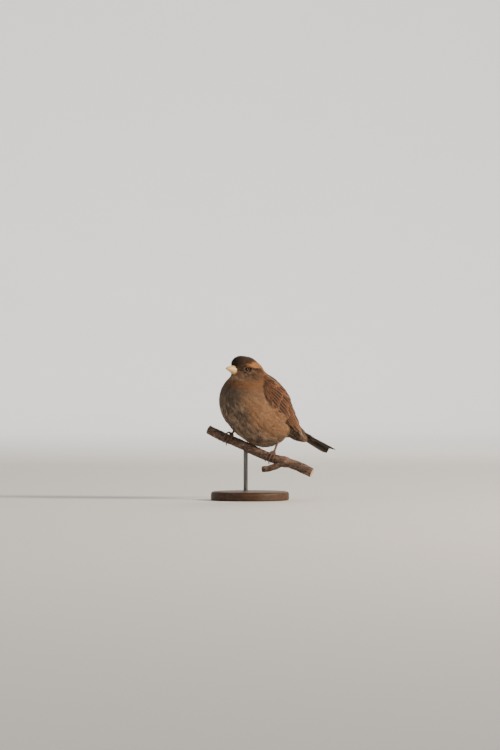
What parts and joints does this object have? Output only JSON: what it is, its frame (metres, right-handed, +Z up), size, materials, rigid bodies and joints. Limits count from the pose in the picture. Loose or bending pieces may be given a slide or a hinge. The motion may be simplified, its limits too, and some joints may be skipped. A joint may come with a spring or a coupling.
{
  "type": "house sparrow",
  "caption": "Fluffed-up female house sparrow with folded wings and closed tail, gripping a short cut twig on a round display stand.",
  "frame": {"origin": "middle of the display stand's flat underside", "axes": "+Z up; the tail points to +X; -Y is the side that the bill, the breast and the left wing are turned to"},
  "size_m": [0.1199, 0.0823, 0.133],
  "materials": {
    "crown_plumage": "soft barbed feathers, brown with darker centres",
    "body_plumage": "soft barbed feathers, grey buff, looser on the belly",
    "wing_feathers": "rufous feathers with black centres and buff edges",
    "flight_feathers": "dusky quills with pale edges, satin",
    "bill": "pale horn, satin",
    "eye": "wet black brown",
    "leg_skin": "scaled pinkish brown skin",
    "claw": "dark horn",
    "bark": "rough grey brown bark",
    "stand_wood": "oiled dark wood",
    "stand_metal": "dark satin steel"
  },
  "bodies": {
    "root": {"head": "crown_plumage", "neck": "body_plumage", "trunk": "body_plumage", "rump": "crown_plumage", "bill_upper": "bill", "bill_lower": "bill", "eye_left": "eye", "eye_right": "eye", "tail": "flight_feathers", "perch": "bark", "stand_rod": "stand_metal", "stand_base": "stand_wood", "wing_left_coverts": "wing_feathers", "wing_left_secondaries": "wing_feathers", "wing_left_primaries": "flight_feathers", "thigh_left": "body_plumage", "leg_left": "leg_skin", "claw_left_inner": "claw", "claw_left_middle": "claw", "claw_left_outer": "claw", "claw_left_hind": "claw", "wing_right_coverts": "wing_feathers", "wing_right_secondaries": "wing_feathers", "wing_right_primaries": "flight_feathers", "thigh_right": "body_plumage", "leg_right": "leg_skin", "claw_right_inner": "claw", "claw_right_middle": "claw", "claw_right_outer": "claw", "claw_right_hind": "claw"}
  },
  "joints": []
}
